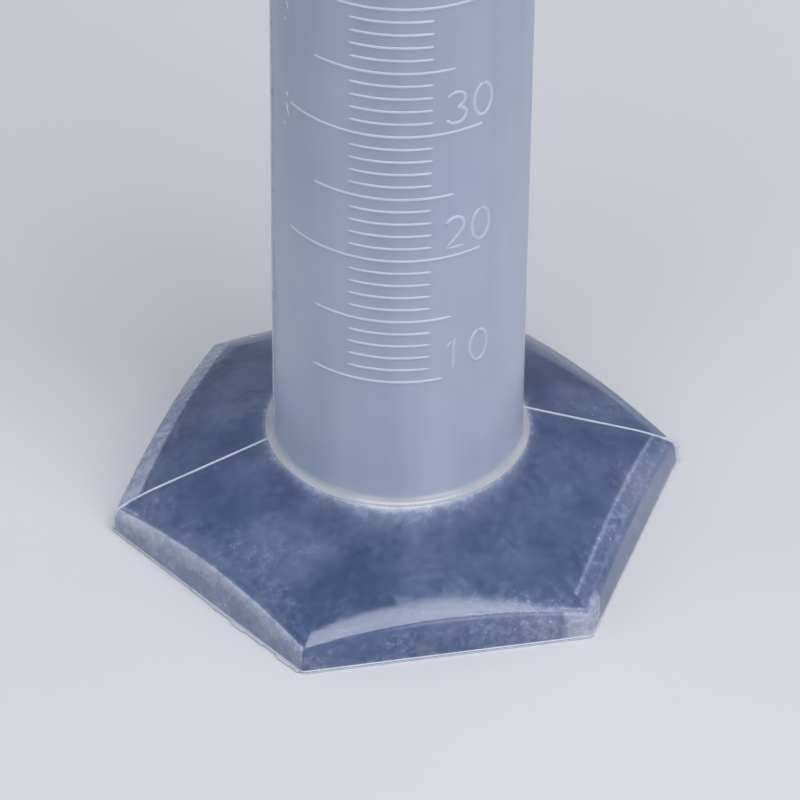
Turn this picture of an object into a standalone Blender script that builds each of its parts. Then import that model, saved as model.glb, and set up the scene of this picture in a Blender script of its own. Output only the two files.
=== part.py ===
# Graduated measuring cylinder, 100 mL, moulded polypropylene.
#
# +Z is up. The origin is the middle of the foot's underside, on the axis of the
# tube, so the foot stands on z = 0. The hexagonal foot has corners on +X and -X
# and flat sides facing -Y and +Y. The scale is on the -Y side and the pouring
# spout points to -X. The mould's parting plane is y = 0.
#
# All lengths below are in millimetres and are turned into metres at the end.

import math

import bmesh
import bpy

MM = 0.001
GAP = 0.3  # clearance between neighbouring solids

# Tube
TUBE_R = 14.75  # outer radius at the foot
DRAFT = 0.0015  # growth of the radius per mm of height
DRAFT_FROM = 12.0  # height at which the radius is TUBE_R
WALL = 1.2
FLOOR_TOP = 11.3
FLOOR_UNDER = 9.8
FLOOR_CORNER = 2.6  # inside radius between the floor and the wall
TUBE_TOP = 210.7
TUBE_SIDES = 72

# Scale: one raised ridge every millilitre
FIRST_ML = 10
LAST_ML = 100
RIDGE_HEIGHT = 0.22
RIDGE_WIDE = 0.60  # at the root, inside the wall
RIDGE_NARROW = 0.22  # at the crest
RIDGE_ROOT = 0.5  # how deep the ridge is set into the wall
UNIT_SPAN = (-35.0, 2.0)  # degrees round from -Y, negative towards -X
FIVE_SPAN = (-52.5, 12.0)
TEN_SPAN = (-68.5, 26.0)
LOWEST_SPAN = (-53.5, 26.0)

# Pouring rim
RIM_UNDER = 211.0
RIM_TOP = 225.0
BEAD_OUT = 1.1  # how far the bead stands out from the tube
BEAD_HEIGHT = 2.6
SPOUT_REACH = 5.2
SPOUT_SINK = 1.0  # how far the tip of the spout lies below the rim
SPOUT_HALF_ANGLE = 30.0

# Foot
FOOT_APOTHEM = 29.7  # from the axis to a flat side, at the table
FOOT_CORNER = 0.9  # rounding of the six upright corners
SKIRT_LEAN = 0.07  # how far the skirt leans in per mm of height
DECK_SLOPE = 0.405
DECK_HIGH = 11.4  # height of the deck at the radius below
DECK_AT = 15.2
EDGE_ROUND = 2.0  # rounding between the deck and the skirt
FOOT_WALL = 1.25
COLLAR_TOP = 12.6
COLLAR_LAND = 0.25
FILLET = 2.1

# Pads in three corners of the foot
PAD_ANGLES = {"left": 180.0, "front": 300.0, "back": 60.0}
PAD_LEG = 3.4  # length of a pad along each side of the corner
PAD_TOP = 3.0


def clear_scene():
    for obj in list(bpy.data.objects):
        bpy.data.objects.remove(obj, do_unlink=True)


def make_collection(name):
    collection = bpy.data.collections.new(name)
    bpy.context.scene.collection.children.link(collection)
    return collection


def make_material(name, color, roughness, alpha=1.0):
    material = bpy.data.materials.new(name)
    material.use_nodes = True
    shader = material.node_tree.nodes["Principled BSDF"]
    shader.inputs["Base Color"].default_value = (*color, 1.0)
    shader.inputs["Roughness"].default_value = roughness
    shader.inputs["IOR"].default_value = 1.49
    shader.inputs["Alpha"].default_value = alpha
    return material


def tube_radius(z):
    return TUBE_R + DRAFT * (z - DRAFT_FROM)


def add_grid(name, columns, collection, material, closed_profile=True):
    """A solid from a ring of columns, each a closed outline going down its outer side."""
    mesh = bpy.data.meshes.new(name)
    verts = [point for column in columns for point in column]
    high = len(columns[0])
    faces = []
    last = high if closed_profile else high - 1
    for i in range(len(columns)):
        j = (i + 1) % len(columns)
        for k in range(last):
            m = (k + 1) % high
            faces.append((i * high + k, i * high + m, j * high + m, j * high + k))
    mesh.from_pydata([tuple(c * MM for c in v) for v in verts], [], faces)
    return finish(name, mesh, collection, material)


def finish(name, mesh, collection, material, sharp=32.0):
    graph = bmesh.new()
    graph.from_mesh(mesh)
    bmesh.ops.remove_doubles(graph, verts=graph.verts, dist=1e-7)
    bmesh.ops.recalc_face_normals(graph, faces=graph.faces)
    for face in graph.faces:
        face.smooth = True
    limit = math.radians(sharp)
    for edge in graph.edges:
        edge.smooth = len(edge.link_faces) == 2 and edge.calc_face_angle(0.0) < limit
    graph.to_mesh(mesh)
    graph.free()
    mesh.materials.append(material)
    obj = bpy.data.objects.new(name, mesh)
    collection.objects.link(obj)
    return obj


def arc(center, radius, start, stop, steps):
    """Points along an arc, both ends included; angles in degrees."""
    points = []
    for i in range(steps + 1):
        a = math.radians(start + (stop - start) * i / steps)
        points.append((center[0] + radius * math.cos(a), center[1] + radius * math.sin(a)))
    return points


def corner_arc(before, corner, after, radius, steps):
    """The rounding that replaces a corner of an outline."""
    ax, ay = before[0] - corner[0], before[1] - corner[1]
    bx, by = after[0] - corner[0], after[1] - corner[1]
    la, lb = math.hypot(ax, ay), math.hypot(bx, by)
    ax, ay, bx, by = ax / la, ay / la, bx / lb, by / lb
    half = math.acos(max(-1.0, min(1.0, ax * bx + ay * by))) / 2
    back = min(radius / math.tan(half), 0.92 * la, 0.92 * lb)
    radius = back * math.tan(half)
    mx, my = ax + bx, ay + by
    lm = math.hypot(mx, my)
    reach = radius / math.sin(half)
    cx, cy = corner[0] + mx / lm * reach, corner[1] + my / lm * reach
    start = math.atan2(corner[1] + ay * back - cy, corner[0] + ax * back - cx)
    stop = math.atan2(corner[1] + by * back - cy, corner[0] + bx * back - cx)
    turn = (stop - start + math.pi) % (2 * math.pi) - math.pi
    return arc((cx, cy), radius, math.degrees(start), math.degrees(start + turn), steps)


def scale_height(volume):
    """Height of the liquid for a volume in mL, from the bore's own shape."""
    z, held, step = FLOOR_TOP, 0.0, 0.02
    while held < volume * 1000.0:
        bore = tube_radius(z) - WALL
        rise = z - FLOOR_TOP
        if rise < FLOOR_CORNER:
            bore -= FLOOR_CORNER - math.sqrt(FLOOR_CORNER**2 - (FLOOR_CORNER - rise) ** 2)
        held += math.pi * bore * bore * step
        z += step
    return z


def tube_profile():
    """From the middle of the floor up the bore and down the outside."""
    bore_low = tube_radius(FLOOR_TOP) - WALL
    rounding = arc((bore_low - FLOOR_CORNER, FLOOR_TOP + FLOOR_CORNER), FLOOR_CORNER, -90, 0, 5)
    bore_top = tube_radius(TUBE_TOP) - WALL
    return (
        [(0.0, FLOOR_TOP)]
        + rounding
        + [
            (bore_top, TUBE_TOP),
            (tube_radius(TUBE_TOP), TUBE_TOP),
            (tube_radius(FLOOR_UNDER + 0.5), FLOOR_UNDER + 0.5),
            (tube_radius(FLOOR_UNDER) - 0.5, FLOOR_UNDER),
            (0.0, FLOOR_UNDER),
        ]
    )


def screw(name, profile, collection, material, sides):
    mesh = bpy.data.meshes.new(name)
    verts = [(r * MM, 0.0, z * MM) for r, z in profile]
    mesh.from_pydata(verts, [(i, i + 1) for i in range(len(verts) - 1)], [])
    obj = bpy.data.objects.new(name, mesh)
    collection.objects.link(obj)
    turn = obj.modifiers.new("turn", "SCREW")
    turn.axis = "Z"
    turn.angle = 2 * math.pi
    turn.screw_offset = 0.0
    turn.steps = sides
    turn.render_steps = sides
    turn.use_merge_vertices = True
    turn.merge_threshold = 0.00001
    turn.use_smooth_shade = True
    mesh.materials.append(material)
    return obj


def ridge_angles(span):
    """Both ends of a line and every facet edge of the tube between them."""
    facet = 360.0 / TUBE_SIDES
    first = math.floor(span[0] / facet) + 1
    last = math.ceil(span[1] / facet) - 1
    inner = [i * facet for i in range(first, last + 1)]
    inner = [a for a in inner if span[0] + 0.7 < a < span[1] - 0.7]
    return [span[0]] + inner + [span[1]]


def ridge_ring(bm, volume, span):
    """One raised line of the scale, a thin curved bar set into the wall."""
    z = scale_height(volume)
    radius = tube_radius(z)
    section = (
        (radius - RIDGE_ROOT, -RIDGE_WIDE / 2),
        (radius + RIDGE_HEIGHT, -RIDGE_NARROW / 2),
        (radius + RIDGE_HEIGHT, RIDGE_NARROW / 2),
        (radius - RIDGE_ROOT, RIDGE_WIDE / 2),
    )
    rows = []
    for degrees in ridge_angles(span):
        a = math.radians(degrees - 90.0)
        rows.append(
            [bm.verts.new((r * MM * math.cos(a), r * MM * math.sin(a), (z + dz) * MM)) for r, dz in section]
        )
    for low, high in zip(rows, rows[1:]):
        for k in range(len(section)):
            m = (k + 1) % len(section)
            bm.faces.new((low[k], high[k], high[m], low[m]))
    bm.faces.new(rows[0])
    bm.faces.new(list(reversed(rows[-1])))


def line_span(volume):
    if volume == FIRST_ML:
        return LOWEST_SPAN
    if volume % 10 == 0:
        return TEN_SPAN
    return FIVE_SPAN if volume % 5 == 0 else UNIT_SPAN


def build_scale(cutters, material):
    bm = bmesh.new()
    for volume in range(FIRST_ML, LAST_ML + 1):
        ridge_ring(bm, volume, line_span(volume))
    bmesh.ops.recalc_face_normals(bm, faces=bm.faces)
    mesh = bpy.data.meshes.new("scale_ridges")
    bm.to_mesh(mesh)
    bm.free()
    mesh.materials.append(material)
    obj = bpy.data.objects.new("scale_ridges", mesh)
    cutters.objects.link(obj)
    obj.hide_render = True
    obj.display_type = "WIRE"
    return obj


def build_tube(parts, cutters, material):
    tube = screw("measuring_tube", tube_profile(), parts, material, TUBE_SIDES)
    join = tube.modifiers.new("scale", "BOOLEAN")
    join.operation = "UNION"
    join.solver = "EXACT"
    join.object = build_scale(cutters, material)
    return tube


def spout_share(angle):
    """1 on the spout's middle, 0 outside it; angle in degrees round from the spout."""
    if abs(angle) >= SPOUT_HALF_ANGLE:
        return 0.0
    return (0.5 + 0.5 * math.cos(math.pi * angle / SPOUT_HALF_ANGLE)) ** 1.3


def rim_column(angle):
    """Outline of the rim at one angle: down the outside, up the bore."""
    bottom = tube_radius(RIM_UNDER)
    top = tube_radius(RIM_TOP)
    bore_low, bore_top = bottom - WALL, top - WALL
    bead = [(top, RIM_TOP - BEAD_HEIGHT - 0.9)] + [
        (top + BEAD_OUT * math.cos(math.radians(t)) ** 0.8, RIM_TOP - BEAD_HEIGHT / 2 + BEAD_HEIGHT / 2 * math.sin(math.radians(t)))
        for t in (-60, -30, 0, 30, 60)
    ]
    outside = list(reversed(bead))
    lift = [RIM_TOP - 5.2, RIM_TOP - 7.2, RIM_TOP - 9.4, RIM_TOP - 11.8]
    outline = [(bore_top + 0.35, RIM_TOP)] + [(top + 0.1, RIM_TOP)] + outside
    outline += [(top - DRAFT * (RIM_TOP - z), z) for z in lift]
    outline += [(bottom, RIM_UNDER), (bore_low, RIM_UNDER)]
    outline += [(bore_top - DRAFT * (RIM_TOP - z), z) for z in reversed(lift)]
    outline += [(bore_top, RIM_TOP - 3.2), (bore_top, RIM_TOP - 1.6), (bore_top, RIM_TOP - 0.35)]
    away = (angle - 180.0 + 180.0) % 360.0 - 180.0
    share = spout_share(away)
    column = []
    for r, z in outline:
        up = max(0.0, (z - RIM_UNDER - 0.8) / (RIM_TOP - RIM_UNDER - 0.8))
        reach = SPOUT_REACH * share * up**1.9
        drop = SPOUT_SINK * share * up**3
        a = math.radians(angle)
        column.append(((r + reach) * math.cos(a), (r + reach) * math.sin(a), z - drop))
    return column


def rim_angles():
    """Closer together across the spout."""
    angles = [i * 6.0 for i in range(25)]
    angles += [147.5 + i * 65.0 / 26 for i in range(27)]
    angles += [216.0 + i * 6.0 for i in range(24)]
    return angles


def build_rim(parts, material):
    return add_grid("pouring_rim", [rim_column(a) for a in rim_angles()], parts, material)


def hexagon_radius(angle, apothem, rounding):
    """Distance from the axis to a hexagon with rounded corners on +X and -X."""
    off = (angle + 360.0) % 60.0 - 30.0
    if abs(math.tan(math.radians(off))) * apothem <= (apothem - rounding) * math.tan(math.radians(30)):
        return apothem / math.cos(math.radians(off))
    center = (apothem - rounding) / math.cos(math.radians(30))
    psi = math.radians(30.0 - abs(off))
    return center * math.cos(psi) + math.sqrt(max(0.0, rounding**2 - (center * math.sin(psi)) ** 2))


def deck_height(radius):
    return DECK_HIGH - DECK_SLOPE * (radius - DECK_AT)


def foot_column(angle):
    """Outline of the foot at one angle: up over the deck, down the skirt and back inside."""

    def side(inset, z=0.0):
        lean = SKIRT_LEAN * z
        rounding = max(0.35, FOOT_CORNER - inset * 0.7)
        return hexagon_radius(angle, FOOT_APOTHEM - inset - lean, rounding)

    bore = tube_radius(COLLAR_TOP) + GAP
    land = (bore + COLLAR_LAND, COLLAR_TOP)
    crook = (bore + COLLAR_LAND, deck_height(bore + COLLAR_LAND))
    edge_r = side(0.0, 5.0)
    edge_z = deck_height(edge_r)
    edge_r = side(0.0, edge_z)
    edge_z = deck_height(edge_r)
    edge = (edge_r, edge_z)
    toe = (side(0.0, 0.0), 0.0)
    outline = [(bore, COLLAR_TOP)]
    outline += corner_arc(land, crook, edge, FILLET, 5)
    middle = (crook[0] + edge[0]) / 2
    outline += [(middle, deck_height(middle))]
    outline += corner_arc(crook, edge, toe, EDGE_ROUND, 6)
    outline += [(side(0.0, 0.35), 0.35), (side(0.25, 0.0), 0.0), (side(FOOT_WALL - 0.2, 0.0), 0.0)]
    drop = FOOT_WALL / math.cos(math.atan(DECK_SLOPE))
    inner_r = side(FOOT_WALL, max(0.5, edge_z - 1.0))
    inner_edge = (inner_r, deck_height(inner_r) - drop)
    inner_toe = (side(FOOT_WALL, 0.0), 0.25)
    collar = (bore, deck_height(bore) - drop)
    outline += [inner_toe]
    outline += corner_arc(inner_toe, inner_edge, collar, max(0.5, EDGE_ROUND - FOOT_WALL + 0.3), 4)
    outline += [(middle, deck_height(middle) - drop), collar]
    a = math.radians(angle)
    return [(r * math.cos(a), r * math.sin(a), z) for r, z in outline]


def foot_angles():
    """Even steps along the sides and closer steps round the six corners."""
    angles = []
    for corner in range(6):
        start = corner * 60.0
        angles += [start + d for d in (0.0, 0.9, 1.8, 4.0, 10.0, 16.5, 23.0)]
        angles += [start + 30.0]
        angles += [start + 60.0 - d for d in (23.0, 16.5, 10.0, 4.0, 1.8, 0.9)]
    return angles


def build_foot(parts, material):
    return add_grid("hexagonal_foot", [foot_column(a) for a in foot_angles()], parts, material)


def pad_outline(inset, leg):
    """Plan of a pad in the corner on +X: two legs along the sides and a rounded face."""
    apothem = FOOT_APOTHEM - FOOT_WALL - GAP - inset
    corner = apothem / math.cos(math.radians(30))
    along = math.radians(120)
    one = (corner + leg * math.cos(along), leg * math.sin(along))
    two = (one[0], -one[1])
    square = math.radians(210)
    depth = 1.4
    three = (one[0] + depth * math.cos(square), one[1] + depth * math.sin(square))
    four = (three[0], -three[1])
    nose = [(corner - 0.5, 0.35), (corner - 0.5, -0.35)]
    return [nose[1], nose[0], one, three, four, two]


def build_pad(name, angle, parts, material):
    """A solid corner block, flush with the rim of the skirt and bevelled on top."""
    levels = [(0.0, 0.0, 0.0), (PAD_TOP - 0.6, SKIRT_LEAN * PAD_TOP, 0.0), (PAD_TOP, SKIRT_LEAN * PAD_TOP + 0.5, 0.45)]
    turn = math.radians(angle)
    bm = bmesh.new()
    rings = []
    for z, inset, shrink in levels:
        ring = []
        for x, y in pad_outline(inset, PAD_LEG - shrink):
            px = x * math.cos(turn) - y * math.sin(turn)
            py = x * math.sin(turn) + y * math.cos(turn)
            ring.append(bm.verts.new((px * MM, py * MM, z * MM)))
        rings.append(ring)
    for low, high in zip(rings, rings[1:]):
        for k in range(len(low)):
            m = (k + 1) % len(low)
            bm.faces.new((low[k], low[m], high[m], high[k]))
    bm.faces.new(list(reversed(rings[0])))
    bm.faces.new(rings[-1])
    mesh = bpy.data.meshes.new(name)
    bm.to_mesh(mesh)
    bm.free()
    return finish(name, mesh, parts, material)


def build():
    clear_scene()
    parts = make_collection("graduated_cylinder")
    cutters = make_collection("cutters")
    milky = make_material("tube_plastic", (0.62, 0.68, 0.78), 0.38, 0.75)
    rim = make_material("rim_plastic", (0.66, 0.71, 0.80), 0.36, 0.8)
    clear = make_material("foot_plastic", (0.48, 0.56, 0.68), 0.30, 0.6)
    thick = make_material("pad_plastic", (0.66, 0.70, 0.78), 0.40, 0.8)
    build_tube(parts, cutters, milky)
    build_rim(parts, rim)
    build_foot(parts, clear)
    for place, angle in PAD_ANGLES.items():
        build_pad("corner_pad_" + place, angle, parts, thick.copy())


build()
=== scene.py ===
"""Looks for the 100 mL graduated measuring cylinder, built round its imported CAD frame.

The moulding is one continuous skin in two closed pieces that meet in the fillet at the foot of
the tube. The scale, numerals, parting line and mould flash are raised geometry. Lengths in the
tables are millimetres and are turned into metres when a mesh is made.
"""

import math

import bmesh
import bpy
from mathutils import Matrix, Vector


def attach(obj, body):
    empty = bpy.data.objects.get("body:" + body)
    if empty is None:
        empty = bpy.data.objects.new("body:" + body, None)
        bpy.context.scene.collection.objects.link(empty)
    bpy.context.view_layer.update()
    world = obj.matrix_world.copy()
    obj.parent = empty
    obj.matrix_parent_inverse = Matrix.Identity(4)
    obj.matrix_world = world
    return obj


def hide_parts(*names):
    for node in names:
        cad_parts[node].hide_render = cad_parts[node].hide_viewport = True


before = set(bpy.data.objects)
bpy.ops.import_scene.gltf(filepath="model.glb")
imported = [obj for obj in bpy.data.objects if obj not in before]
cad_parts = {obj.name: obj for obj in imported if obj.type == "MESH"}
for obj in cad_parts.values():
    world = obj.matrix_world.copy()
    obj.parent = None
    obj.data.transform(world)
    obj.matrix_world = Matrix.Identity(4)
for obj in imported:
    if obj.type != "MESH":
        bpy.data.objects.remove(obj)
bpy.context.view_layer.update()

MM = 0.001

# Driving sizes: the CAD's own, but for a smaller fillet, crisper edges and corners, a deck that
# bends down near its edge, and a shorter lowest line
TUBE_R, DRAFT, DRAFT_FROM, WALL = 14.75, 0.0015, 12.0, 1.2
FLOOR_TOP, FLOOR_UNDER, FLOOR_CORNER = 11.3, 9.8, 2.6
RIM_UNDER, RIM_TOP, BEAD_OUT, BEAD_HEIGHT = 211.0, 225.0, 1.1, 2.6
SPOUT_REACH, SPOUT_SINK, SPOUT_HALF = 5.2, 1.0, 30.0
APOTHEM, CORNER_ROUND, LEAN = 29.7, 0.7, 0.07
DECK_SLOPE, DECK_HIGH, DECK_AT = 0.405, 11.4, 15.2
BEND_IN, BEND_RATE, EDGE_ROUND, FOOT_WALL = 4.5, 0.03, 0.95, 1.25
FIRST_ML, LAST_ML = 10, 100
UNIT_SPAN, FIVE_SPAN, TEN_SPAN, LOWEST_SPAN = (-35.0, 2.0), (-52.5, 12.0), (-68.5, 26.0), (-53.5, 8.0)
LINE_PROUD = 0.12
# Numerals: azimuth of their left side, height, spacing, and rise above their line
NUMERAL_AT, NUMERAL_TALL, NUMERAL_PITCH, NUMERAL_LIFT = 7.6, 4.5, 3.4, 1.0
BEAD_SMOOTH = 80.0  # edges sharper than this angle stay sharp on the raised beads
FILLET_R, FILLET_TOP = 1.15, 12.5
SPLIT_R = 15.62  # where the tube piece meets the foot piece
FLOOR_DOME, DOME_R = 0.15, 11.0  # the closed end's slight rise in the middle
TUBE_COLUMNS = 288


# ---------------------------------------------------------------- small tools


def tube_radius(z):
    return TUBE_R + DRAFT * (z - DRAFT_FROM)


def deck_height(r):
    return DECK_HIGH - DECK_SLOPE * (r - DECK_AT)


def spread(start, stop, steps):
    """Evenly spaced values, both ends included."""
    return [start + (stop - start) * i / steps for i in range(steps + 1)]


def loop(cx, cy, rx, ry, start, stop, steps):
    """Points of an ellipse, or part of one, between two angles in degrees."""
    turns = [math.radians(a) for a in spread(start, stop, steps)]
    return [(cx + rx * math.cos(t), cy + ry * math.sin(t)) for t in turns]


def arc(center, radius, start, stop, steps):
    """Points of a round arc between two angles in degrees."""
    return loop(*center, radius, radius, start, stop, steps)


def corner_arc(before, corner, after, radius, steps):
    """The rounding that replaces a corner of an outline."""
    ax, ay = before[0] - corner[0], before[1] - corner[1]
    bx, by = after[0] - corner[0], after[1] - corner[1]
    la, lb = math.hypot(ax, ay), math.hypot(bx, by)
    ax, ay, bx, by = ax / la, ay / la, bx / lb, by / lb
    half = math.acos(max(-1.0, min(1.0, ax * bx + ay * by))) / 2
    back = min(radius / math.tan(half), 0.92 * la, 0.92 * lb)
    radius = back * math.tan(half)
    mx, my = ax + bx, ay + by
    reach = radius / math.sin(half) / math.hypot(mx, my)
    cx, cy = corner[0] + mx * reach, corner[1] + my * reach
    start = math.atan2(corner[1] + ay * back - cy, corner[0] + ax * back - cx)
    stop = math.atan2(corner[1] + by * back - cy, corner[0] + bx * back - cx)
    turn = (stop - start + math.pi) % (2 * math.pi) - math.pi
    return arc((cx, cy), radius, math.degrees(start), math.degrees(start + turn), steps)


def scale_height(volume):
    """Height of the liquid for a volume in mL, from the bore's own shape."""
    z, held, step = FLOOR_TOP, 0.0, 0.02
    while held < volume * 1000.0:
        bore = tube_radius(z) - WALL
        rise = z - FLOOR_TOP
        if rise < FLOOR_CORNER:
            bore -= FLOOR_CORNER - math.sqrt(FLOOR_CORNER**2 - (FLOOR_CORNER - rise) ** 2)
        held += math.pi * bore * bore * step
        z += step
    return z


def link(name, mesh, materials, body="root", smooth=40.0):
    """Adds a mesh as a piece of the object that rides on a CAD body."""
    graph = bmesh.new()
    graph.from_mesh(mesh)
    bmesh.ops.recalc_face_normals(graph, faces=graph.faces)
    limit = math.radians(smooth)
    for face in graph.faces:
        face.smooth = True
    for edge in graph.edges:
        edge.smooth = len(edge.link_faces) == 2 and edge.calc_face_angle(0.0) < limit
    graph.to_mesh(mesh)
    graph.free()
    obj = bpy.data.objects.new(name, mesh)
    bpy.context.scene.collection.objects.link(obj)
    for material in materials:
        mesh.materials.append(material)
    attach(obj, body)
    return obj


def smooth(low, high, value):
    """0 at low, 1 at high, eased between."""
    t = min(1.0, max(0.0, (value - low) / (high - low)))
    return t * t * (3 - 2 * t)


def paint(mesh, values):
    """Stores how milky and how scuffed each point of a skin is, for its material; the milkiness also carries
    painted highlights and a painted reflection.
    """
    layer = mesh.color_attributes.new("finish_and_sheen", "FLOAT_COLOR", "POINT")
    for point, (milk_and_sheen, wear) in zip(layer.data, values):
        point.color = (milk_and_sheen, wear, 0.0, 1.0)


def grid_mesh(name, columns, caps=False):
    """A closed skin from a ring of columns. With caps, the first and last points are on the axis."""
    high = len(columns[0])
    count = len(columns)
    assert all(len(column) == high for column in columns)
    if not caps:
        verts = [p for column in columns for p in column]
        faces = []
        for i in range(count):
            j = (i + 1) % count
            for k in range(high):
                m = (k + 1) % high
                faces.append((i * high + k, i * high + m, j * high + m, j * high + k))
    else:
        inner = high - 2
        verts = [p for column in columns for p in column[1:-1]]
        start, end = len(verts), len(verts) + 1
        verts += [columns[0][0], columns[0][-1]]
        faces = []
        for i in range(count):
            j = (i + 1) % count
            faces.append((start, i * inner, j * inner))
            faces.append((end, j * inner + inner - 1, i * inner + inner - 1))
            for k in range(inner - 1):
                faces.append((i * inner + k, i * inner + k + 1, j * inner + k + 1, j * inner + k))
    mesh = bpy.data.meshes.new(name)
    mesh.from_pydata([(x * MM, y * MM, z * MM) for x, y, z in verts], [], faces)
    return mesh


def sweep(bm, path, normals, half_width, height, sides=8, sink=0.08, taper=2, swell=None):
    """A raised bead along a path on a surface: half an ellipse, sunk a little, with rounded ends."""
    rings = []
    last = len(path) - 1
    for i, (point, normal) in enumerate(zip(path, normals)):
        ahead = path[min(i + 1, last)] - path[max(i - 1, 0)]
        across = ahead.cross(normal).normalized()
        end = min(i, last - i)
        share = 1.0 if end >= taper else math.sin(math.pi / 2 * (end + 0.35) / (taper + 0.35))
        tall = height * share * (swell[i] if swell else 1.0)
        ring = []
        for k in range(sides):
            a = 2 * math.pi * k / sides
            lift = math.sin(a) * tall if math.sin(a) > 0 else math.sin(a) * sink
            place = point + across * (math.cos(a) * half_width * (0.35 + 0.65 * share)) + normal * lift
            ring.append(bm.verts.new(place * MM))
        rings.append(ring)
    for low, high in zip(rings, rings[1:]):
        for k in range(sides):
            m = (k + 1) % sides
            bm.faces.new((low[k], low[m], high[m], high[k]))
    bm.faces.new(list(reversed(rings[0])))
    bm.faces.new(rings[-1])


def mesh_of(name, bm):
    mesh = bpy.data.meshes.new(name)
    bm.to_mesh(mesh)
    bm.free()
    return mesh


def ripple(x, y, z, scale, amount):
    """A smooth, repeatable unevenness of moulded plastic, in millimetres."""
    x, y, z = x / scale, y / scale, z / scale
    wave = math.sin(1.7 * x + 2.3 * y + 0.6 * z + 0.4) + math.sin(-2.1 * x + 1.1 * y + 1.9 * z + 1.7)
    wave += 0.6 * math.sin(3.9 * x - 3.1 * y + 2.7 * z + 0.9) + 0.4 * math.sin(5.3 * y + 4.7 * x - 3.3 * z)
    return amount * wave / 3.0


# ---------------------------------------------------------------- materials


PLASTIC_IOR = 1.49
TUBE_CLEAR, FOOT_CLEAR = 0.42, 0.86  # share of light that goes through
FOOT_CLEAR_TINT, FOOT_HAZE_AND_SHEEN_TINT = (0.165, 0.27, 0.515), (0.60, 0.61, 0.70)


def new_material(name):
    material = bpy.data.materials.new(name)
    material.use_nodes = True
    return material, material.node_tree.nodes, material.node_tree.links


def noise(nodes, links, coords, scale, detail=4.0, rough=0.55, distortion=0.0):
    node = nodes.new("ShaderNodeTexNoise")
    node.inputs["Scale"].default_value = scale
    node.inputs["Detail"].default_value = detail
    node.inputs["Roughness"].default_value = rough
    node.inputs["Distortion"].default_value = distortion
    links.new(coords, node.inputs["Vector"])
    return node.outputs["Fac"]


def ramp(nodes, links, value, stops):
    node = nodes.new("ShaderNodeValToRGB")
    elements = node.color_ramp.elements
    while len(elements) < len(stops):
        elements.new(0.5)
    for element, (place, color) in zip(elements, stops):
        element.position = place
        element.color = (*color, 1.0) if len(color) == 3 else color
    links.new(value, node.inputs["Fac"])
    return node.outputs["Color"]


def mix(nodes, links, factor, one, two, mode="MIX"):
    node = nodes.new("ShaderNodeMix")
    node.data_type = "RGBA"
    node.blend_type = mode
    for name, value in (("Factor", factor), ("A", one), ("B", two)):
        kind = "VALUE" if name == "Factor" else "RGBA"
        socket = [s for s in node.inputs if s.name == name and s.type == kind][0]
        if hasattr(value, "links"):
            links.new(value, socket)
        elif name == "Factor":
            socket.default_value = value
        else:
            socket.default_value = (*value, 1.0)
    return [s for s in node.outputs if s.type == "RGBA"][0]


def grey(low, high, start=0.0, stop=1.0):
    """Ramp stops from one grey to another."""
    return [(start, (low, low, low)), (stop, (high, high, high))]


def math_node(nodes, links, operation, one, two, clamp=False):
    node = nodes.new("ShaderNodeMath")
    node.operation = operation
    node.use_clamp = clamp
    for slot, value in zip(node.inputs, (one, two)):
        if hasattr(value, "links"):
            links.new(value, slot)
        else:
            slot.default_value = value
    return node.outputs["Value"]


def finish_of(nodes, links):
    """The stored milkiness, painted highlights included, and wear of a skin."""
    painted = nodes.new("ShaderNodeVertexColor")
    painted.layer_name = "finish_and_sheen"
    split = nodes.new("ShaderNodeSeparateColor")
    links.new(painted.outputs["Color"], split.inputs["Color"])
    return split.outputs["Red"], split.outputs["Green"]


def orange_peel(nodes, links, shader, coords, scale, depth, strength=0.15):
    node = nodes.new("ShaderNodeBump")
    node.inputs["Strength"].default_value = strength
    node.inputs["Distance"].default_value = depth
    links.new(noise(nodes, links, coords, scale, 3.0), node.inputs["Height"])
    links.new(node.outputs["Normal"], shader.inputs["Normal"])


def stretched(nodes, links, coords, x, y, z):
    node = nodes.new("ShaderNodeMapping")
    node.inputs["Scale"].default_value = (x, y, z)
    links.new(coords, node.inputs["Vector"])
    return node.outputs["Vector"]


def solid_plastic(name, low, high, transmission, rough, scale):
    """Milky polypropylene for small raised shapes and thick blocks."""
    material, nodes, links = new_material(name)
    shader = nodes["Principled BSDF"]
    coords = nodes.new("ShaderNodeTexCoord").outputs["Object"]
    clouds = noise(nodes, links, coords, scale, 4.0, 0.6)
    links.new(ramp(nodes, links, clouds, [(0.35, low), (0.65, high)]), shader.inputs["Base Color"])
    links.new(ramp(nodes, links, clouds, grey(rough * 0.8, rough * 1.2)), shader.inputs["Roughness"])
    orange_peel(nodes, links, shader, coords, 700.0, 0.00008)
    shader.inputs["IOR"].default_value = PLASTIC_IOR
    shader.inputs["Transmission Weight"].default_value = transmission
    return material


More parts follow.
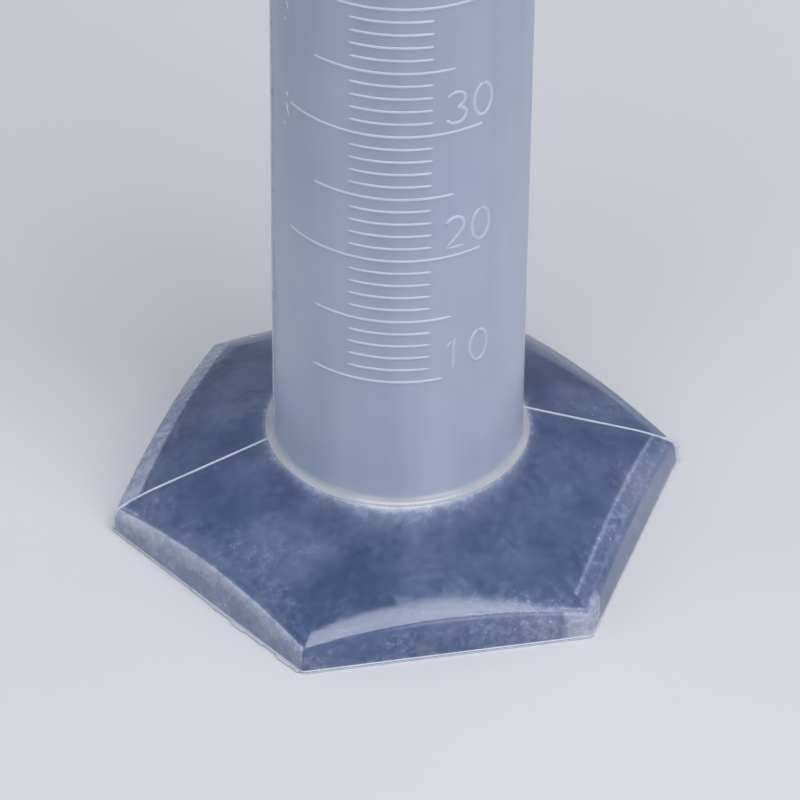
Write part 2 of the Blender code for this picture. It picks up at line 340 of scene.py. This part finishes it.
def tube_material():
    """Milky wall: soft clouds, faint upright flow streaks, and painted light that makes it lighter near the
    foot and darker higher up.
    """
    material, nodes, links = new_material("milky_polypropylene")
    shader = nodes["Principled BSDF"]
    coords = nodes.new("ShaderNodeTexCoord").outputs["Object"]
    clouds = noise(nodes, links, coords, 48.0, 5.0, 0.6, 0.4)
    body = ramp(nodes, links, clouds, [(0.34, (0.50, 0.58, 0.77)), (0.70, (0.57, 0.645, 0.82))])
    flow = noise(nodes, links, stretched(nodes, links, coords, 1.0, 1.0, 0.06), 150.0, 3.0)
    streaks = ramp(nodes, links, flow, [(0.35, (0.90, 0.91, 0.93)), (0.62, (1.04, 1.03, 1.02))])
    body = mix(nodes, links, 1.0, body, streaks, "MULTIPLY")
    split = nodes.new("ShaderNodeSeparateXYZ")
    links.new(coords, split.inputs["Vector"])
    # Painted light: the wall's colour is made lighter near the foot and darker higher up the tube.
    up = math_node(nodes, links, "MULTIPLY", split.outputs["Z"], 10.0)
    tone = [(0.11, (1.12, 1.13, 1.09)), (0.30, (1.07, 1.07, 1.04)), (0.75, (0.93, 0.945, 0.935))]
    body = mix(nodes, links, 1.0, body, ramp(nodes, links, up, tone), "MULTIPLY")
    links.new(body, shader.inputs["Base Color"])
    links.new(ramp(nodes, links, clouds, grey(0.26, 0.38)), shader.inputs["Roughness"])
    shader.inputs["IOR"].default_value = PLASTIC_IOR
    shader.inputs["Transmission Weight"].default_value = TUBE_CLEAR
    return material


def foot_material():
    """Thinner and clearer wall: navy where clear, with drifts of haze, scuffs and fine specks, and the painted
    highlights and painted reflection stored with the milkiness.
    """
    material, nodes, links = new_material("clear_polypropylene")
    shader = nodes["Principled BSDF"]
    coords = nodes.new("ShaderNodeTexCoord").outputs["Object"]
    milk_and_sheen, wear = finish_of(nodes, links)
    drift = ramp(nodes, links, noise(nodes, links, coords, 85.0, 5.0, 0.6), grey(0.0, 0.22, 0.42, 0.72))
    scuff = ramp(nodes, links, noise(nodes, links, coords, 1000.0, 5.0, 0.66), grey(0.0, 0.42, 0.42, 0.76))
    specks = ramp(nodes, links, noise(nodes, links, coords, 2600.0, 2.0), grey(0.0, 0.50, 0.665, 0.73))
    patchy = ramp(nodes, links, noise(nodes, links, coords, 190.0, 4.0, 0.6), grey(0.15, 1.0, 0.34, 0.66))
    wear = math_node(nodes, links, "MULTIPLY", wear, patchy)
    worn = math_node(nodes, links, "MULTIPLY", wear, math_node(nodes, links, "ADD", scuff, specks))
    uneven = math_node(nodes, links, "MULTIPLY", milk_and_sheen, math_node(nodes, links, "ADD", scuff, 0.82))
    # The stored milkiness is partly the plastic's own and partly painted highlights and a painted reflection of
    # the tube; all of it whitens the wall here.
    haze_and_sheen = math_node(nodes, links, "ADD", math_node(nodes, links, "ADD", drift, worn), uneven, clamp=True)
    links.new(mix(nodes, links, haze_and_sheen, FOOT_CLEAR_TINT, FOOT_HAZE_AND_SHEEN_TINT), shader.inputs["Base Color"])
    clear = math_node(nodes, links, "MULTIPLY", math_node(nodes, links, "SUBTRACT", 1.0, haze_and_sheen), FOOT_CLEAR)
    links.new(clear, shader.inputs["Transmission Weight"])
    links.new(ramp(nodes, links, haze_and_sheen, grey(0.10, 0.42)), shader.inputs["Roughness"])
    orange_peel(nodes, links, shader, coords, 260.0, 0.00015)
    shader.inputs["IOR"].default_value = PLASTIC_IOR
    return material


tube_plastic = tube_material()
foot_plastic = foot_material()
line_plastic = solid_plastic(
    "scale_polypropylene", (0.52, 0.58, 0.71), (0.58, 0.63, 0.76), transmission=0.2, rough=0.34, scale=300.0
)
numeral_plastic = solid_plastic(
    "numeral_polypropylene", (0.52, 0.57, 0.70), (0.58, 0.62, 0.74), transmission=0.2, rough=0.34, scale=260.0
)
seam_plastic = solid_plastic(
    "seam_polypropylene", (0.50, 0.54, 0.65), (0.60, 0.63, 0.72), transmission=0.1, rough=0.28, scale=300.0
)
fillet_plastic = solid_plastic(
    "fillet_polypropylene", (0.50, 0.515, 0.585), (0.60, 0.605, 0.66), transmission=0.3, rough=0.22, scale=200.0
)
# Whiter plastic: a painted highlight on the foot's bottom rim, and the real whitened nicks on the tube.
toe_glint_and_nick_plastic = solid_plastic(
    "toe_glint_and_nick_polypropylene", (0.72, 0.73, 0.80), (0.84, 0.84, 0.90), transmission=0.1, rough=0.3, scale=500.0
)
pad_plastic = solid_plastic(
    "thick_polypropylene", (0.52, 0.56, 0.66), (0.66, 0.68, 0.76), transmission=0.35, rough=0.28, scale=260.0
)


# ---------------------------------------------------------------- tube and rim


def spout_share(angle):
    """How much of the spout's reach a column at this angle has, 0 to 1."""
    away = abs(angle % 360.0 - 180.0)
    return 0.0 if away >= SPOUT_HALF else (0.5 + 0.5 * math.cos(math.pi * away / SPOUT_HALF)) ** 1.3


def fillet_arc(steps):
    """The rounding between the tube and the deck, from the tube down."""
    r = tube_radius(FILLET_TOP)
    corner = (r + 0.05, deck_height(r))
    return corner_arc((r, 14.2), corner, (22.0, deck_height(22.0)), FILLET_R, steps)


def tube_outline():
    """Half section of the tube, from the floor's middle up the bore, over the rim and down outside."""
    low = tube_radius(FLOOR_TOP) - WALL
    top = tube_radius(RIM_TOP)
    line = [(r, FLOOR_TOP + FLOOR_DOME * (1 - (r / DOME_R) ** 2)) for r in (0.0, 1.5, 3.5, 5.5, 7.5, 9.5)]
    line += arc((low - FLOOR_CORNER, FLOOR_TOP + FLOOR_CORNER), FLOOR_CORNER, -90, 0, 12)
    line += [(tube_radius(z) - WALL, z) for z in spread(15.5, RIM_UNDER, 64)]
    line += [(tube_radius(z) - WALL, z) for z in spread(RIM_UNDER + 1, RIM_TOP - 1.4, 14)]
    line += arc((top - WALL + 1.0, RIM_TOP - 1.0), 1.0, 180, 90, 5)
    line += arc((top + BEAD_OUT - 1.25, RIM_TOP - 1.25), 1.25, 88, -60, 10)
    line += [(top + 0.12, RIM_TOP - BEAD_HEIGHT - 0.2), (tube_radius(RIM_TOP - 3.6), RIM_TOP - 3.6)]
    line += [(tube_radius(z), z) for z in spread(RIM_TOP - 4.3, RIM_UNDER + 0.5, 12)]
    line += [(tube_radius(z), z) for z in spread(RIM_UNDER, 14.6, 66)]
    bend = fillet_arc(12)
    line += [(tube_radius(FILLET_TOP), bend[0][1] + 0.16)] + [(r, z) for r, z in bend if r < SPLIT_R]
    line += [(SPLIT_R, deck_height(SPLIT_R) + 0.03), (SPLIT_R, deck_height(SPLIT_R) - FOOT_WALL / 0.93)]
    under = deck_height(TUBE_R) - FOOT_WALL / 0.93
    line += [(TUBE_R + 0.3, under), (TUBE_R - 0.4, FLOOR_UNDER + 0.08), (TUBE_R - 1.0, FLOOR_UNDER)]
    line += [(r, FLOOR_UNDER) for r in (12.5, 10.0, 7.5, 5.0, 3.6)]
    gate_ring = ((3.25, -0.05), (3.0, -0.16), (2.75, -0.05), (2.4, 0.1), (1.2, 0.12), (0.0, 0.05))
    line += [(r, FLOOR_UNDER + rise) for r, rise in gate_ring]
    return line


def tube_column(line, angle):
    """The half section turned to an angle, drawn out into the spout near the top."""
    share = spout_share(angle)
    a = math.radians(angle)
    column = []
    for r, z in line:
        up = max(0.0, (z - RIM_UNDER - 0.8) / (RIM_TOP - RIM_UNDER - 0.8)) if r > 10 else 0.0
        out = r + SPOUT_REACH * share * up**1.9
        if r > 12.0:
            out += ripple(out * math.cos(a), out * math.sin(a), z, 9.0, 0.018)
        column.append((out * math.cos(a), out * math.sin(a), z - SPOUT_SINK * share * up**3))
    return column


def build_tube():
    line = tube_outline()
    columns = [tube_column(line, i * 360.0 / TUBE_COLUMNS) for i in range(TUBE_COLUMNS)]
    mesh = grid_mesh("tube_wall", columns, caps=True)
    obj = link("tube_wall", mesh, [tube_plastic, fillet_plastic])
    for face in mesh.polygons:
        x, y, z = face.center / MM
        if 10.9 < z < 11.9 and math.hypot(x, y) > TUBE_R - 0.1:
            face.material_index = 1
    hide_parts("measuring_tube", "pouring_rim")


# ---------------------------------------------------------------- foot


def hexagon_radius(angle, apothem, rounding):
    """Distance from the axis to a hexagon with rounded corners."""
    off = (angle + 360.0) % 60.0 - 30.0
    if abs(math.tan(math.radians(off))) * apothem <= (apothem - rounding) * math.tan(math.radians(30)):
        return apothem / math.cos(math.radians(off))
    center = (apothem - rounding) / math.cos(math.radians(30))
    psi = math.radians(30.0 - abs(off))
    return center * math.cos(psi) + math.sqrt(max(0.0, rounding**2 - (center * math.sin(psi)) ** 2))


# Each side of the foot from +X round: how far inboard its milky edge band starts, and the
# milkiness of the band, of the skirt and of the thin line where the band starts, and the skirt's wear.
# The band, skirt and line milkiness are partly the plastic's own, partly a painted highlight that differs from
# side to side.
SIDES = (
    (2.2, 0.12, 0.14, 0.0, 0.60),
    (2.2, 0.30, 0.20, 0.0, 0.50),
    (2.4, 0.44, 0.24, 0.0, 0.40),
    (0.35, 0.60, 0.42, 0.0, 0.25),
    (0.30, 0.10, 0.12, 0.0, 0.90),
    (2.3, 0.13, 0.12, 0.30, 0.60),
)
PAD_CORNERS, PAD_REACH, PAD_MILK = (60.0, 180.0, 300.0), 3.35, 0.48
# Drifts of haze and of painted reflection in the deck: azimuth in degrees, radius and spread in mm, and
# milkiness. The two at 262 and 270 degrees, in front of the tube, paint the tube's reflection in the deck.
HAZE_AND_REFLECTION_DRIFTS = (
    (216.0, 26.0, 4.5, 0.10),
    (262.0, 19.5, 4.0, 0.07),
    (270.0, 24.0, 4.0, 0.11),
    (150.0, 22.0, 8.0, 0.12),
)


def drift_milk(angle, r):
    """Milkiness that the drifts give a point of the deck, with the painted reflection of the tube in front of
    it.
    """
    milk_and_sheen = 0.0
    for azimuth, radius, spread_out, amount in HAZE_AND_REFLECTION_DRIFTS:
        turn = math.radians(angle - azimuth)
        away_squared = r * r + radius * radius - 2 * r * radius * math.cos(turn)
        milk_and_sheen += amount * math.exp(-away_squared / spread_out**2)
    return milk_and_sheen


def pad_milk(angle):
    """How much whiter the wall is where a corner pad backs it."""
    near = min(abs((angle - corner + 180.0) % 360.0 - 180.0) for corner in PAD_CORNERS)
    from_corner = APOTHEM * (math.tan(math.radians(30)) - math.tan(math.radians(30.0 - min(near, 30.0))))
    return PAD_MILK * smooth(PAD_REACH + 0.12, PAD_REACH - 0.12, from_corner)


def foot_outline(angle):
    """Section of the foot at an angle, as (radius, height, milkiness with painted highlights, wear)."""

    def side(inset, z=0.0):
        rounding = max(0.2, CORNER_ROUND - inset * 0.5)
        return hexagon_radius(angle, APOTHEM - inset - LEAN * z, rounding)

    def deck(inset):
        return side(inset, 5.0), deck_height(side(inset, 5.0)) - BEND_RATE * max(0.0, BEND_IN - inset) ** 2

    band_at, band_milk_and_sheen, skirt_milk_and_sheen, line_milk_and_sheen, skirt_wear = SIDES[int(angle // 60) % 6]
    pad = pad_milk(angle)
    start = SPLIT_R + 0.02
    # Painted highlight: the milky ring round the tube's foot is whiter and wider toward azimuth 259, the side
    # the camera looks from.
    front = math.exp(-(((angle - 259.0) / 26.0) ** 2))
    edge = deck(0.0)
    skirt = (side(0.0, edge[1] - 1.8), edge[1] - 1.8)
    turn = corner_arc(deck(1.4), edge, skirt, EDGE_ROUND, 9)
    line = []
    for r in spread(start, side(5.0, 5.0), 26)[:-1]:
        haze_and_sheen = (0.36 + 0.50 * front) * math.exp(-(r - start) / (0.45 + 0.5 * front))
        haze_and_sheen += 0.10 * math.exp(-(r - start) / 2.0)
        line.append((r, deck_height(r), haze_and_sheen + drift_milk(angle, r), 0.35))
    for inset in spread(5.0, 0.65, 26):
        r, z = deck(inset)
        # Painted highlight together with the plastic's own milkiness: the band on the rounded edge and the thin
        # line where it starts.
        band = band_milk_and_sheen * smooth(band_at + 0.25, band_at - 0.25, inset)
        milk_and_sheen = max(band, pad * smooth(0.9, 0.5, inset))
        milk_and_sheen += line_milk_and_sheen * math.exp(-(((inset - band_at) / 0.22) ** 2))
        milk_and_sheen = max(milk_and_sheen, drift_milk(angle, r))
        line.append((r, z, milk_and_sheen, 0.40 + 0.45 * smooth(5.0, 1.5, inset)))
    top = max(band_milk_and_sheen, pad)
    line += [(r, z, top * smooth(-1, 2 if band_at < 1 else 0, k), 0.5) for k, (r, z) in enumerate(turn)]
    for z in spread(turn[-1][1], 0.55, 8)[1:]:
        fade = smooth(turn[-1][1] - 2.2, turn[-1][1], z)
        line.append((side(0.0, z), z, max(pad, skirt_milk_and_sheen + (band_milk_and_sheen - skirt_milk_and_sheen) * fade), skirt_wear))
    # Painted highlights: the two bright lines round the bottom rim are made whiter here and take the toe
    # material.
    line += [(side(0.0, z), z, 0.3, 0.3) for z in (0.48, 0.30, 0.19)]
    line += [(side(0.03), 0.06, 0.9, 0.0), (side(0.10), 0.0, 0.9, 0.0)]
    line += [(side(FOOT_WALL - 0.2), 0.0, 0.9, 0.0), (side(FOOT_WALL - 0.06), 0.08, 0.9, 0.0)]
    line += [(side(FOOT_WALL), 0.4, 0.5, 0.0)]
    slant = FOOT_WALL / math.cos(math.atan(DECK_SLOPE))
    inner_r = side(FOOT_WALL, max(0.5, edge[1] - 1.0))
    inner = (inner_r, deck_height(inner_r) - slant - 0.2)
    bend = corner_arc((side(FOOT_WALL), 0.35), inner, (start, deck_height(start) - slant), 1.3, 8)
    line += [(side(FOOT_WALL, z), z, 0.30, 0.4) for z in spread(0.45, bend[0][1], 4)[1:-1]]
    line += [(r, z, 0.35, 0.2) for r, z in bend]
    line += [(r, deck_height(r) - slant, 0.0, 0.1) for r in spread(bend[-1][0] - 1.0, start, 16)]
    return line


def foot_angles():
    """Angles of the foot's columns, closer together where the corners and the pads are."""
    near = [0.0, 0.3, 0.6, 1.0, 1.6, 2.4, 3.3, 4.2, 5.1, 5.6, 5.9, 6.2, 6.6]
    offsets = near + spread(7.6, 52.4, 32) + [60.0 - n for n in reversed(near[1:])]
    return [corner + offset for corner in spread(0.0, 300.0, 5) for offset in offsets]


def build_foot():
    columns, finish_and_sheen = [], []
    for angle in foot_angles():
        a = math.radians(angle)
        column = []
        for r, z, milk_and_sheen, wear in foot_outline(angle):
            x, y = r * math.cos(a), r * math.sin(a)
            column.append((x, y, z + (ripple(x, y, z, 7.0, 0.05) if r > 18 and z > 2 else 0.0)))
            finish_and_sheen.append((milk_and_sheen, wear))
        columns.append(column)
    mesh = grid_mesh("foot_shell", columns)
    paint(mesh, finish_and_sheen)
    obj = link("foot_shell", mesh, [foot_plastic, toe_glint_and_nick_plastic])
    # The rows of the bottom rim's two bright lines get the toe material, a painted highlight.
    for face in mesh.polygons:
        if face.center.z / MM < 0.15 or 0.30 < face.center.z / MM < 0.48:
            face.material_index = 1
    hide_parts("hexagonal_foot")


# ---------------------------------------------------------------- corner pads


# The pad's rings from the rim up: height, step in from the skirt, and length of each leg
PAD_RINGS = (
    (0.02, 0.0, 3.3),
    (0.15, 0.0, 3.4),
    (2.3, 0.12, 3.4),
    (2.7, 0.18, 3.3),
    (2.95, 0.35, 3.0),
    (3.0, 0.8, 2.4),
)


def build_pad(place, angle):
    """A block in a corner of the foot, rounded on top and running down to the foot's rim."""
    turn = Matrix.Rotation(math.radians(angle), 4, "Z")
    rings = []
    for z, inset, leg in PAD_RINGS:
        apothem = APOTHEM - FOOT_WALL - 0.12 - inset
        corner = apothem / math.cos(math.radians(30))
        along = math.radians(120)
        one = Vector((corner + leg * math.cos(along), leg * math.sin(along), z))
        square = math.radians(210)
        depth = 1.5 - inset * 0.5
        three = one + Vector((depth * math.cos(square), depth * math.sin(square), 0))
        two = one * 0.25 + three * 0.75 + Vector((0, 0.12, 0))
        half = [Vector((corner - 0.55, 0.3, z)), one, two, three, Vector((three.x - 0.35, three.y * 0.5, z))]
        ring = half + [Vector((v.x, -v.y, z)) for v in reversed(half)]
        rings.append([turn @ v for v in ring])
    bm = bmesh.new()
    made = [[bm.verts.new(v * MM) for v in ring] for ring in rings]
    for low, high in zip(made, made[1:]):
        for k in range(len(low)):
            m = (k + 1) % len(low)
            bm.faces.new((low[k], low[m], high[m], high[k]))
    bm.faces.new(list(reversed(made[0])))
    bm.faces.new(made[-1])
    obj = link("pad_" + place, mesh_of("pad_" + place, bm), [pad_plastic], smooth=50.0)
    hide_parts("corner_pad_" + place)


# ---------------------------------------------------------------- scale and numerals


def on_tube(azimuth, z, lift=0.0):
    """A point on the tube; azimuth in degrees round from -Y."""
    a = math.radians(azimuth - 90.0)
    normal = Vector((math.cos(a), math.sin(a), 0.0))
    return Vector((0, 0, z)) + normal * (tube_radius(z) + lift), normal


def line_span(volume):
    if volume == FIRST_ML:
        return LOWEST_SPAN
    if volume % 10 == 0:
        return TEN_SPAN
    return FIVE_SPAN if volume % 5 == 0 else UNIT_SPAN


def sweep_pairs(bm, pairs, half_width, height, **shape):
    """A raised bead along points that come with their normals."""
    path, normals = zip(*pairs)
    sweep(bm, path, normals, half_width, height, **shape)


def build_lines():
    bm = bmesh.new()
    for volume in range(FIRST_ML, LAST_ML + 1):
        z = scale_height(volume)
        left, right = line_span(volume)
        steps = max(8, round((right - left) / 1.8))
        pairs = [on_tube(a, z) for a in spread(left, right, steps)]
        half_width = 0.22 if volume % 5 == 0 else 0.20
        sweep_pairs(bm, pairs, half_width, LINE_PROUD, taper=1)
    link("scale_lines", mesh_of("scale_lines", bm), [line_plastic], smooth=BEAD_SMOOTH)


# Small nicks left of the scale: azimuth and height of one end, then the turn and the rise to the
# other, in degrees and millimetres
NICKS = (
    (-72.0, 62.6, 2.4, -1.1),
    (-71.5, 63.9, 1.4, 0.1),
    (-73.5, 59.5, 1.0, 0.2),
    (-71.0, 76.3, 1.2, -0.5),
    (-72.5, 73.8, 0.8, 0.3),
)


def build_nicks():
    bm = bmesh.new()
    for azimuth, z, turn, rise in NICKS:
        pairs = []
        for t in spread(0.0, 1.0, 6):
            height = z + rise * t + 0.25 * math.sin(5.0 * t)
            pairs.append(on_tube(azimuth + turn * t, height, 0.01))
        sweep_pairs(bm, pairs, 0.07, 0.05, sides=6, taper=2)
    link("wall_nicks", mesh_of("wall_nicks", bm), [toe_glint_and_nick_plastic], smooth=BEAD_SMOOTH)


def digit_strokes(digit):
    """Centre lines of a numeral in a box 0.62 wide and 1 high, in plain rounded strokes."""
    if digit == "0":
        return [loop(0.31, 0.5, 0.27, 0.47, 90, 450, 28)]
    if digit == "1":
        return [[(0.12, 0.74), (0.22, 0.84), (0.32, 0.97), (0.32, 0.66), (0.32, 0.33), (0.32, 0.03)]]
    if digit == "2":
        top = loop(0.31, 0.70, 0.25, 0.26, 165, -28, 14)
        return [top + [(0.40, 0.40), (0.22, 0.20), (0.08, 0.04), (0.30, 0.04), (0.56, 0.04)]]
    if digit == "3":
        return [loop(0.29, 0.74, 0.24, 0.22, 160, -78, 14) + loop(0.29, 0.27, 0.27, 0.24, 82, -160, 16)]
    if digit == "4":
        upright = [(0.44, 0.03), (0.44, 0.5), (0.44, 0.97)]
        return [upright + [(0.25, 0.66), (0.05, 0.32), (0.3, 0.32), (0.6, 0.32)]]
    if digit == "5":
        bar = [(0.53, 0.96), (0.32, 0.96), (0.13, 0.96), (0.10, 0.56)]
        return [bar + loop(0.29, 0.33, 0.26, 0.29, 115, -150, 16)]
    if digit == "6":
        back = [(0.48, 0.93), (0.28, 0.78), (0.10, 0.52), (0.05, 0.34)]
        return [back + loop(0.31, 0.30, 0.26, 0.27, 175, 520, 20)]
    if digit == "7":
        return [[(0.05, 0.96), (0.3, 0.96), (0.57, 0.96), (0.42, 0.6), (0.3, 0.3), (0.24, 0.03)]]
    if digit == "8":
        return [loop(0.31, 0.74, 0.21, 0.22, -90, 270, 20), loop(0.31, 0.27, 0.26, 0.25, 90, 450, 22)]
    return [loop(0.31, 0.69, 0.26, 0.27, -5, -350, 20) + [(0.56, 0.5), (0.46, 0.24), (0.22, 0.05)]]


def build_numerals():
    bm = bmesh.new()
    for volume in range(FIRST_ML, LAST_ML + 1, 10):
        base = scale_height(volume) + NUMERAL_LIFT
        for place, digit in enumerate(str(volume)):
            for stroke in digit_strokes(digit):
                pairs = []
                for u, v in stroke:
                    turn = math.degrees((place * NUMERAL_PITCH + u * NUMERAL_TALL) / tube_radius(base))
                    pairs.append(on_tube(NUMERAL_AT + turn, base + v * NUMERAL_TALL))
                sweep_pairs(bm, pairs, 0.25, 0.10, taper=1)
    mesh = mesh_of("scale_numerals", bm)
    link("scale_numerals", mesh, [numeral_plastic], smooth=BEAD_SMOOTH)


# ---------------------------------------------------------------- parting line and flash


def parting_path(direction):
    """The mould's parting line on one side, from under the rim to the foot's corner."""
    top = RIM_TOP - 16.0 if direction < 0 else RIM_TOP - 4.5
    line = [(tube_radius(z), z, 1.0, 0.0) for z in spread(top, 14.5, 90)]
    bend = fillet_arc(10)
    for i, (r, z) in enumerate(bend):
        t = i / (len(bend) - 1) * math.atan2(1.0, DECK_SLOPE)
        line.append((r, z, math.cos(t), math.sin(t)))
    tilt = math.atan(DECK_SLOPE)
    for point in foot_outline(0.0):
        r, z = point[:2]
        if r > 17.2 and z <= 0.3:
            break
        if r > 17.2:
            line.append((r, z, math.sin(tilt), math.cos(tilt)))
    points = [Vector((direction * r, 0.0, z)) for r, z, out, up in line]
    normals = [Vector((direction * out, 0.0, up)) for r, z, out, up in line]
    over_edge = range(len(line) - 16, len(line))
    for i in over_edge:
        ahead = points[min(i + 1, len(points) - 1)] - points[i - 1]
        normals[i] = Vector((-ahead.z * direction, 0.0, ahead.x * direction)).normalized()
        if normals[i].x * direction < 0 and normals[i].z < 0:
            normals[i] = -normals[i]
    return points, normals


def build_parting():
    bm = bmesh.new()
    for direction in (-1, 1):
        points, normals = parting_path(direction)
        sweep(bm, points, normals, 0.15, 0.16, sides=8, sink=0.1)
    link("parting_line", mesh_of("parting_line", bm), [seam_plastic], smooth=BEAD_SMOOTH)


def ragged(i):
    """Uneven height of mould flash along its length, 0.15 to 1."""
    wave = math.sin(0.47 * i) + math.sin(0.21 * i + 1.0) + 0.6 * math.sin(1.13 * i + 2.0)
    wave += 0.35 * math.sin(2.3 * i)
    return 0.15 + 0.85 * min(1.0, max(0.0, 0.42 + 0.27 * wave))


def build_flash():
    """Thin leftover fins: up the +X corner, a little at -X, and under the left front edge."""
    bm = bmesh.new()
    for direction, proud in ((1, 0.78), (-1, 0.16)):
        outline = foot_outline(0.0 if direction > 0 else 180.0)
        top = deck_height(APOTHEM / math.cos(math.radians(30))) + 0.6
        rows = [point[:2] for point in outline if point[0] > 30 and 0.3 < point[1] < top]
        rows = rows[: 1 + max(k for k, (r, z) in enumerate(rows) if r > 33.0)]
        path = []
        for (r, z), (r2, z2) in zip(rows, rows[1:]):
            steps = max(1, round(math.hypot(r2 - r, z2 - z) / 0.16))
            start, step = Vector((direction * r, 0.0, z)), Vector((direction * (r2 - r), 0.0, z2 - z)) / steps
            path += [start + step * k for k in range(steps)]
        normals = []
        for i in range(len(path)):
            ahead = path[min(i + 1, len(path) - 1)] - path[max(i - 1, 0)]
            normals.append(Vector((-ahead.z * direction, 0.0, ahead.x * direction)).normalized())
        swell = [ragged(1.7 * i) * smooth(0, 6, i) for i in range(len(path))]
        sweep(bm, path, normals, 0.22, proud, sink=0.3, swell=swell)
    out = Vector((math.cos(math.radians(210)), math.sin(math.radians(210)), 0.0))
    along = Vector((-out.y, out.x, 0.0))
    path = [out * (APOTHEM - 0.02) + along * t + Vector((0, 0, 0.14)) for t in spread(-3.0, 16.6, 96)]
    swell = [ragged(0.7 * i) * smooth(0, 30, i) for i in range(len(path))]
    sweep(bm, path, [out] * len(path), 0.12, 0.42, sink=0.25, swell=swell)
    link("foot_flash", mesh_of("foot_flash", bm), [seam_plastic], smooth=BEAD_SMOOTH)


build_tube()
build_foot()
for where, turn_to in (("left", 180.0), ("front", 300.0), ("back", 60.0)):
    build_pad(where, turn_to)
build_lines()
build_numerals()
build_nicks()
build_parting()
build_flash()


# ---------------------------------------------------------------- floor, light and camera


def build_floor():
    material, nodes, links = new_material("pale_floor")
    shader = nodes["Principled BSDF"]
    coords = nodes.new("ShaderNodeTexCoord").outputs["Object"]
    tones = [(0.3, (0.60, 0.605, 0.62)), (0.7, (0.63, 0.635, 0.65))]
    tone = ramp(nodes, links, noise(nodes, links, coords, 9.0, 3.0), tones)
    links.new(tone, shader.inputs["Base Color"])
    shader.inputs["Roughness"].default_value = 0.75
    bpy.ops.mesh.primitive_plane_add(size=24.0, location=(0, 0, -0.00005))
    floor = bpy.context.active_object
    floor.name = "floor"
    floor.data.materials.append(material)


def area_light(name, place, target, size, power, color, up=(0, 0, 1), shape="RECTANGLE"):
    """A soft box facing the target, with its height along up."""
    data = bpy.data.lights.new(name, "AREA")
    data.shape = shape
    data.size, data.size_y = size
    data.energy = power
    data.color = color
    obj = bpy.data.objects.new(name, data)
    bpy.context.scene.collection.objects.link(obj)
    away = (Vector(place) - Vector(target)).normalized()
    right = Vector(up).cross(away).normalized()
    turn = Matrix((right, away.cross(right), away)).transposed()
    obj.matrix_world = Matrix.Translation(place) @ turn.to_4x4()


HORIZON, ZENITH = (0.245, 0.26, 0.295), (0.45, 0.475, 0.52)
OVERHEAD_UP = (0.12, 1.0, 0.0)


def build_light():
    world = bpy.data.worlds.new("studio")
    world.use_nodes = True
    nodes, links = world.node_tree.nodes, world.node_tree.links
    split = nodes.new("ShaderNodeSeparateXYZ")
    links.new(nodes.new("ShaderNodeTexCoord").outputs["Generated"], split.inputs["Vector"])
    sky = ramp(nodes, links, split.outputs["Z"], [(0.0, HORIZON), (1.0, ZENITH)])
    links.new(sky, nodes["Background"].inputs["Color"])
    bpy.context.scene.world = world
    above = (0.05, -0.37, 1.10)
    area_light("overhead", above, (0, 0, 0), (1.20, 0.46), 8.9, (1.0, 0.99, 0.99), OVERHEAD_UP, "ELLIPSE")
    area_light("left_side", (-0.95, 0.30, 0.62), (0, 0, 0.03), (0.7, 0.8), 1.35, (0.90, 0.95, 1.0))
    area_light("right_side", (1.00, 0.42, 0.36), (0, 0, 0.03), (0.6, 0.45), 0.45, (1.0, 0.95, 0.95))
    area_light("front_right", (0.40, -1.05, 0.42), (0, 0, 0.07), (0.7, 0.7), 4.3, (1.0, 0.97, 0.96))


LENS = 267.64
CAMERA_PLACE = (-0.11304, -0.53881, 0.446972)
CAMERA_TURNS = (-11.8739, 38.1369, 0.6188)  # azimuth, elevation and roll in degrees


def build_camera():
    data = bpy.data.cameras.new("camera")
    data.sensor_width = 36.0
    data.lens = LENS
    data.clip_start, data.clip_end = 0.05, 20.0
    camera = bpy.data.objects.new("camera", data)
    bpy.context.scene.collection.objects.link(camera)
    azimuth, elevation, roll = (math.radians(turn) for turn in CAMERA_TURNS)
    level = Vector((math.sin(azimuth), -math.cos(azimuth), 0.0))
    back = level * math.cos(elevation) + Vector((0.0, 0.0, math.sin(elevation)))
    right = Vector((math.cos(azimuth), math.sin(azimuth), 0.0))
    up = back.cross(right)
    side = right * math.cos(roll) + up * math.sin(roll)
    up = -right * math.sin(roll) + up * math.cos(roll)
    turn = Matrix((side, up, back)).transposed()
    camera.matrix_world = Matrix.Translation(CAMERA_PLACE) @ turn.to_4x4()
    bpy.context.scene.camera = camera


build_floor()
build_light()
build_camera()
bpy.context.scene.view_settings.view_transform = "Standard"
